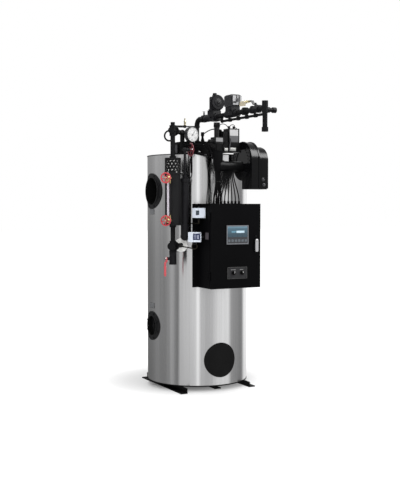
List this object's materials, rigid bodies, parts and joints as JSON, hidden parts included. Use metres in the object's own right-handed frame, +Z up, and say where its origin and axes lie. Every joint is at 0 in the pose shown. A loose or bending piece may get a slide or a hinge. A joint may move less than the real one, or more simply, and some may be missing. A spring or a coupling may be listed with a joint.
{
  "type": "vertical steam boiler",
  "caption": "Vertical steam boiler: stainless jacket on floor rails, top burner with blower and gas train, water column with gauge glass, and a hinged control panel.",
  "frame": {"origin": "on the floor under the boiler's axis, on the underside of the middle rail", "axes": "+Z up along the boiler's axis, front with the control panel towards -Y, flue towards -X"},
  "size_m": [0.9223, 1.4165, 2.221],
  "materials": {
    "stainless": "brushed",
    "deck_paint": "satin",
    "black_paint": "satin",
    "grey_casting": "cast",
    "grey_housing": "satin",
    "label_grey": "satin",
    "cable_black": "matte",
    "yellow_lever": "gloss",
    "white_paint": "satin",
    "red_paint": "gloss",
    "maroon_paint": "gloss",
    "brass": "machined",
    "sight_glass": "clear",
    "gauge_white": "gloss",
    "bright_chrome": "polished",
    "screen_grey": "gloss",
    "dark_plastic": "matte",
    "white_plastic": "satin"
  },
  "bodies": {
    "boiler": {"outer_jacket": "stainless", "top_plate": "deck_paint", "base_plate": "black_paint", "floor_rails": "black_paint", "pressure_vessel": "grey_casting", "flue_collar": "grey_casting", "hand_hole_ring": "grey_casting", "hand_hole_cover": "black_paint", "front_cover": "black_paint", "burner_drum": "black_paint", "air_duct": "black_paint", "blower_housing": "black_paint", "fan_motor_cover": "black_paint", "intake_ring": "black_paint", "relay_box": "black_paint", "air_switch": "grey_housing", "flame_scanner": "black_paint", "ignition_transformer": "label_grey", "ignition_lead": "cable_black", "cable_trunk": "black_paint", "control_conduits": "cable_black", "cable_glands": "cable_black", "gas_piping": "black_paint", "regulating_valve": "grey_casting", "regulator_head": "grey_housing", "shutoff_valve": "grey_casting", "shutoff_actuator": "grey_housing", "pilot_line": "black_paint", "gas_cock": "grey_casting", "drip_leg": "black_paint", "water_column": "black_paint", "probe_guard": "grey_housing", "steam_header": "black_paint", "water_leg": "black_paint", "escutcheon": "white_paint", "blowdown_valve": "grey_casting", "gauge_valves": "brass", "gauge_glass": "sight_glass", "vent_valve": "brass", "feed_pipe": "black_paint", "pressure_gauge": "gauge_white", "junction_box": "black_paint", "steam_outlet": "grey_casting", "panel_bracket": "black_paint", "panel_case": "black_paint", "sub_panel": "white_paint", "pressure_controls": "white_plastic", "pressure_tubes": "brass"},
    "panel_door": {"panel_door": "black_paint", "touch_screen": "screen_grey", "switch_plate": "dark_plastic"},
    "door_handle": {"door_handle": "bright_chrome"},
    "left_selector": {"left_selector": "dark_plastic"},
    "right_selector": {"right_selector": "dark_plastic"},
    "blowdown_lever": {"blowdown_lever": "red_paint"},
    "gas_cock_lever": {"gas_cock_lever": "yellow_lever"},
    "upper_gauge_wheel": {"upper_gauge_wheel": "red_paint"},
    "lower_gauge_wheel": {"lower_gauge_wheel": "red_paint"},
    "feed_valve_wheel": {"feed_valve_wheel": "maroon_paint"}
  },
  "joints": [
    {"name": "door_swing", "type": "hinge", "parent": "boiler", "child": "panel_door", "pos_m": [-0.211, -0.607, 1.093], "axis": [0, 0, -1], "range_deg": [0, 110]},
    {"name": "handle_turn", "type": "hinge", "parent": "panel_door", "child": "door_handle", "pos_m": [0.163, -0.616, 1.096], "axis": [0, -1, 0], "range_deg": [0, 90]},
    {"name": "left_selector_turn", "type": "hinge", "parent": "panel_door", "child": "left_selector", "pos_m": [-0.026, -0.62, 0.9], "axis": [0, -1, 0], "range_deg": [-45, 45]},
    {"name": "right_selector_turn", "type": "hinge", "parent": "panel_door", "child": "right_selector", "pos_m": [0.044, -0.62, 0.9], "axis": [0, -1, 0], "range_deg": [-45, 45]},
    {"name": "blowdown_turn", "type": "hinge", "parent": "boiler", "child": "blowdown_lever", "pos_m": [-0.40022, -0.40022, 1.003], "axis": [-1, 0, 0], "range_deg": [0, 90]},
    {"name": "gas_cock_turn", "type": "hinge", "parent": "boiler", "child": "gas_cock_lever", "pos_m": [0, -0.885, 2.08], "axis": [0, 0, 1], "range_deg": [0, 90]},
    {"name": "upper_gauge_turn", "type": "hinge", "parent": "boiler", "child": "upper_gauge_wheel", "pos_m": [-0.47093, -0.47093, 1.579], "axis": [-0.7071, -0.7071, 0], "range_deg": [0, 630]},
    {"name": "lower_gauge_turn", "type": "hinge", "parent": "boiler", "child": "lower_gauge_wheel", "pos_m": [-0.47093, -0.47093, 1.278], "axis": [-0.7071, -0.7071, 0], "range_deg": [0, 630]},
    {"name": "feed_valve_turn", "type": "hinge", "parent": "boiler", "child": "feed_valve_wheel", "pos_m": [-0.28936, -0.37036, 1.789], "axis": [1, 0, 0], "range_deg": [0, 990]}
  ]
}
